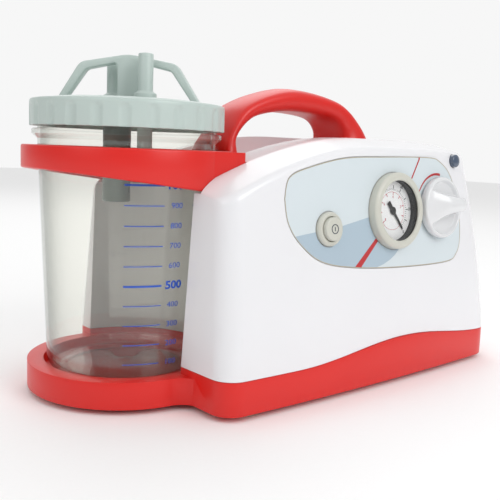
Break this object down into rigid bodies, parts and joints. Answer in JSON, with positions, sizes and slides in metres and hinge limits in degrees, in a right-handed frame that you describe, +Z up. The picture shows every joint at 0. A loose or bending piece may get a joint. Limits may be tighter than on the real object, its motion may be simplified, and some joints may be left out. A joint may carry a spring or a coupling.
{
  "type": "suction pump",
  "caption": "Portable suction pump: white housing on a red base and tray, lidded clear collection jar in a ring, carrying handle, vacuum gauge, knob and button.",
  "frame": {"origin": "on the floor under the middle of the whole object's box", "axes": "+X along the length from the jar to the housing's right end, +Y to the back, +Z up"},
  "size_m": [0.353, 0.18, 0.215],
  "materials": {
    "red_abs": "satin moulded ABS",
    "white_abs": "glossy moulded ABS",
    "cream_abs": "satin moulded ABS",
    "lid_plastic": "satin moulded polypropylene",
    "clear_jar": "clear moulded polycarbonate",
    "clear_lens": "clear acrylic",
    "smoky_plastic": "translucent moulded polypropylene",
    "float_plastic": "moulded polypropylene",
    "black_plastic": "moulded",
    "dial_white": "printed",
    "label_film": "printed polyester film",
    "beige_rubber": "moulded",
    "smoked_lens": "polished acrylic",
    "plated_steel": "zinc plated",
    "bare_aluminium": "machined",
    "turned_brass": "turned",
    "board_green": "solder mask",
    "silencer_plastic": "moulded"
  },
  "bodies": {
    "chassis": {"base_tray": "red_abs", "foot_front_left": "beige_rubber", "foot_front_right": "beige_rubber", "foot_rear_left": "beige_rubber", "foot_rear_right": "beige_rubber", "screw_front_left": "plated_steel", "screw_front_right": "plated_steel", "screw_rear_left": "plated_steel", "screw_rear_right": "plated_steel", "front_shell": "white_abs", "rear_shell": "white_abs", "carry_handle": "red_abs", "jar_ring": "red_abs", "control_label": "label_film", "button_bezel": "cream_abs", "power_switch": "black_plastic", "gauge_case": "black_plastic", "gauge_dial": "dial_white", "gauge_lens": "clear_lens", "gauge_bezel": "cream_abs", "regulator_valve": "turned_brass", "indicator_lens": "smoked_lens", "power_inlet": "black_plastic", "vacuum_spigot": "plated_steel", "rating_plate": "bare_aluminium", "rubber_mount_fl": "beige_rubber", "rubber_mount_fr": "beige_rubber", "rubber_mount_rl": "beige_rubber", "rubber_mount_rr": "beige_rubber", "pump_bracket": "plated_steel", "motor": "plated_steel", "pump_cylinder": "bare_aluminium", "cylinder_head": "bare_aluminium", "battery_pack": "black_plastic", "circuit_board": "board_green", "exhaust_silencer": "silencer_plastic"},
    "jar": {"suction_jar": "clear_jar"},
    "lid_seal": {"lid_gasket": "beige_rubber"},
    "lid": {"jar_lid": "lid_plastic", "float_cage": "smoky_plastic"},
    "float": {"float": "float_plastic"},
    "button": {"power_button": "cream_abs"},
    "knob": {"vacuum_knob": "white_abs"},
    "needle": {"gauge_needle": "black_plastic"},
    "pump_crank": {"crank": "black_plastic"},
    "pump_piston": {"piston": "black_plastic"}
  },
  "joints": [
    {"name": "jar_lift", "type": "slide", "parent": "chassis", "child": "jar", "axis": [0, 0, 1], "range_m": [0, 0.16]},
    {"name": "lid_lift", "type": "slide", "parent": "jar", "child": "lid_seal", "axis": [0, 0, 1], "range_m": [0, 0.075]},
    {"name": "lid_turn", "type": "hinge", "parent": "lid_seal", "child": "lid", "pos_m": [-0.11, 0.011, 0.18], "axis": [0, 0, 1], "range_deg": [0, 180]},
    {"name": "float_rise", "type": "slide", "parent": "lid", "child": "float", "axis": [0, 0, 1], "range_m": [0, 0.012]},
    {"name": "button_press", "type": "slide", "parent": "chassis", "child": "button", "axis": [-0.0359, 0.9939, -0.1045], "range_m": [0, 0.003], "stiffness_N_per_m": 300, "springref_m": -0.002},
    {"name": "knob_turn", "type": "hinge", "parent": "chassis", "child": "knob", "pos_m": [0.1012, -0.07122, 0.1215], "axis": [0.0852, -0.9909, 0.1041], "range_deg": [-135, 135]},
    {"name": "needle_sweep", "type": "hinge", "parent": "chassis", "child": "needle", "pos_m": [0.05, -0.07516, 0.1205], "axis": [0.0635, -0.9925, 0.1043], "range_deg": [0, 270], "stiffness_Nm_per_rad": 0.00002, "springref_deg": -17.19},
    {"name": "crank_spin", "type": "hinge", "parent": "chassis", "child": "pump_crank", "pos_m": [0.015, 0.011, 0.046], "axis": [0, -1, 0], "continuous": true},
    {"name": "piston_stroke", "type": "slide", "parent": "chassis", "child": "pump_piston", "axis": [0, 0, 1], "range_m": [0, 0.01]}
  ]
}
